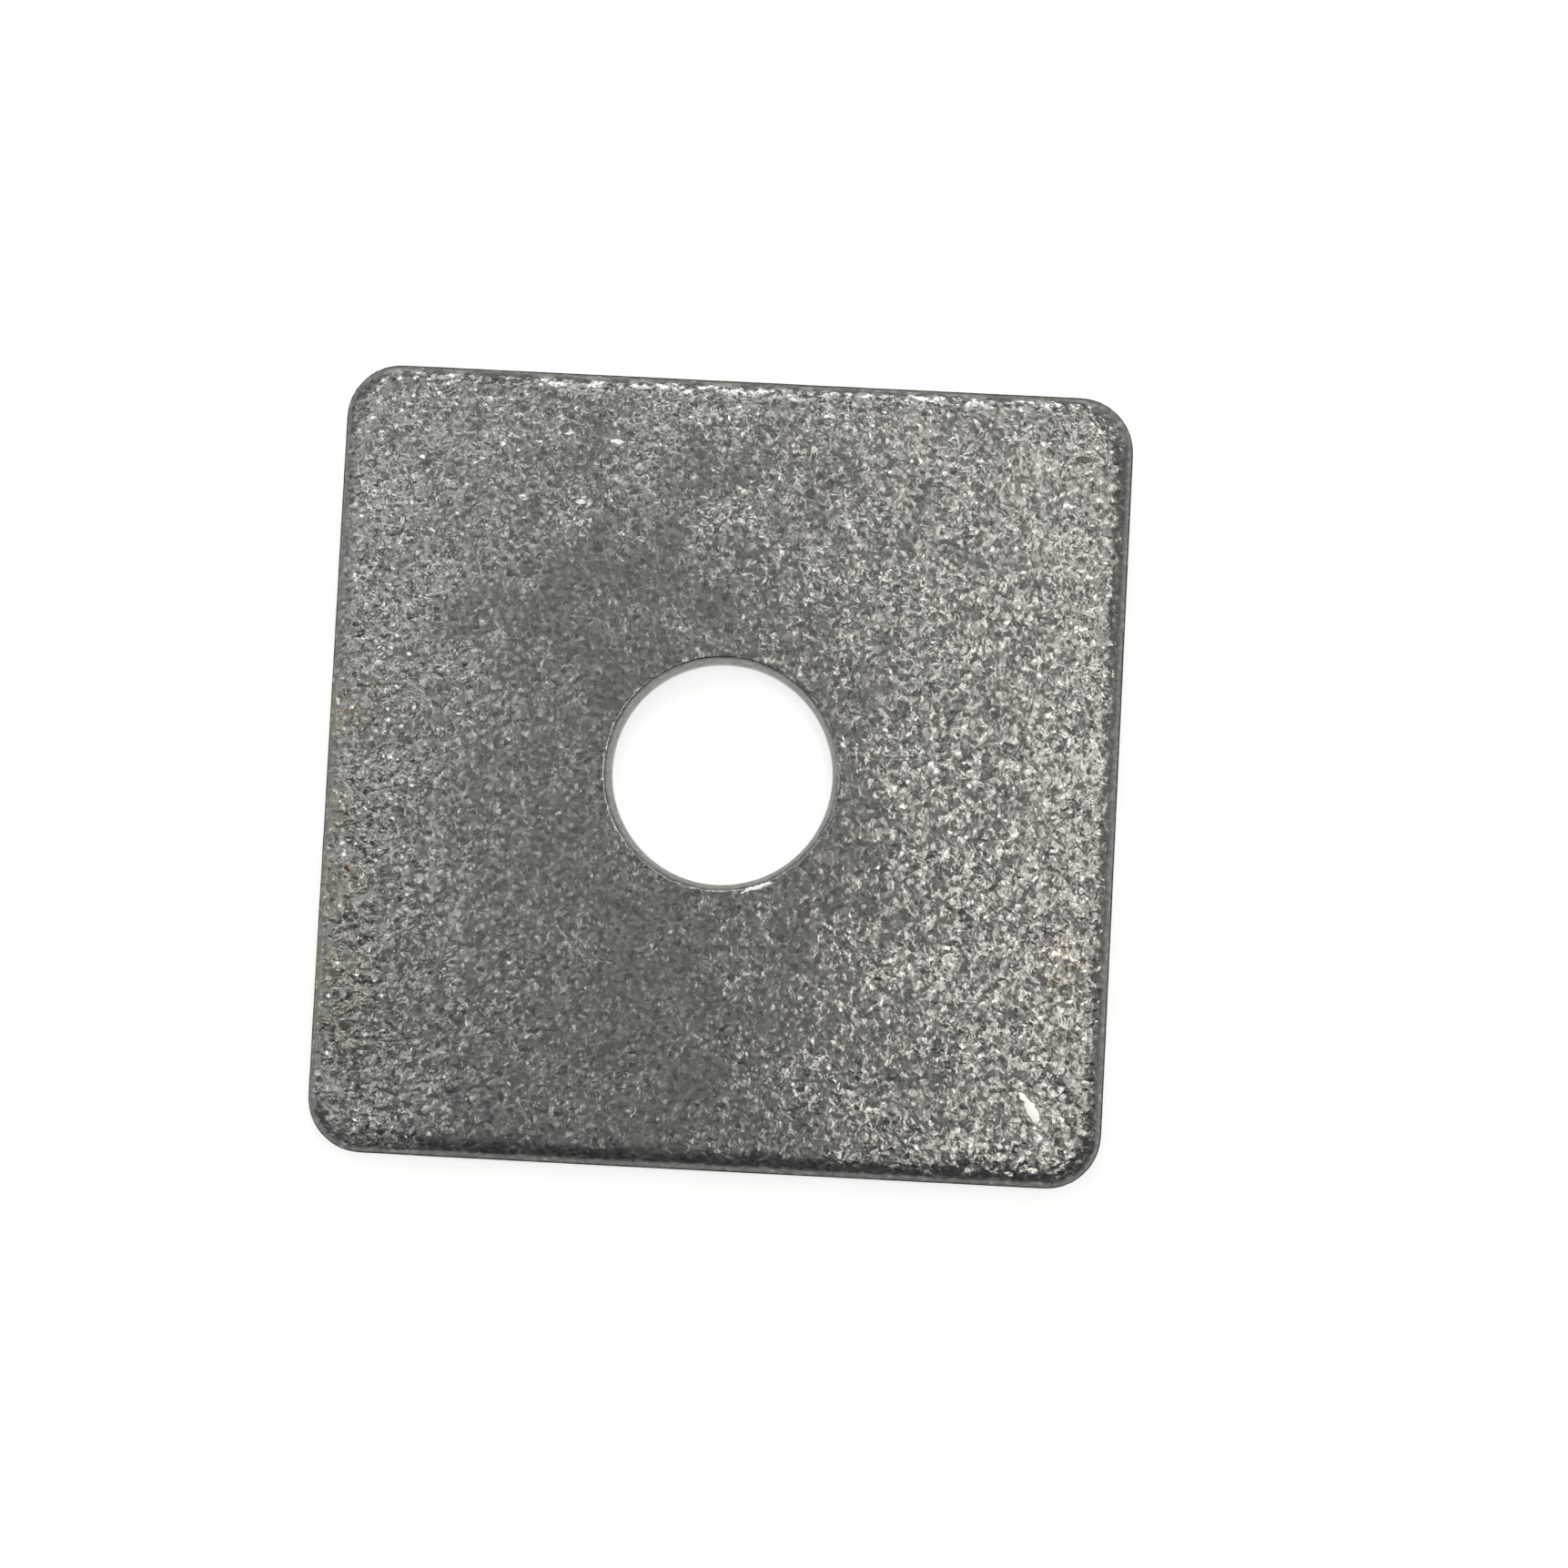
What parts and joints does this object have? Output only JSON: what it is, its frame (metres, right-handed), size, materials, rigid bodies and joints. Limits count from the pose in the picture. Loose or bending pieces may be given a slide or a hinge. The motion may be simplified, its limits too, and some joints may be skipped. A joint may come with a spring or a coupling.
{
  "type": "square plate washer",
  "caption": "Flat square steel plate washer with rounded corners, rolled-over punched edges and a central round bolt hole, for spreading a bolt's load.",
  "frame": {"origin": "on the hole's axis, in the plane of the underside", "axes": "+Z along the hole's axis, out of the face with the rolled outline; X and Y square to the plate's sides"},
  "size_m": [0.05, 0.05, 0.003],
  "materials": {
    "zinc_coated_steel": "tumbled, dull grey zinc coat with a pebbled grain"
  },
  "bodies": {
    "root": {"plate_washer": "zinc_coated_steel"}
  },
  "joints": []
}
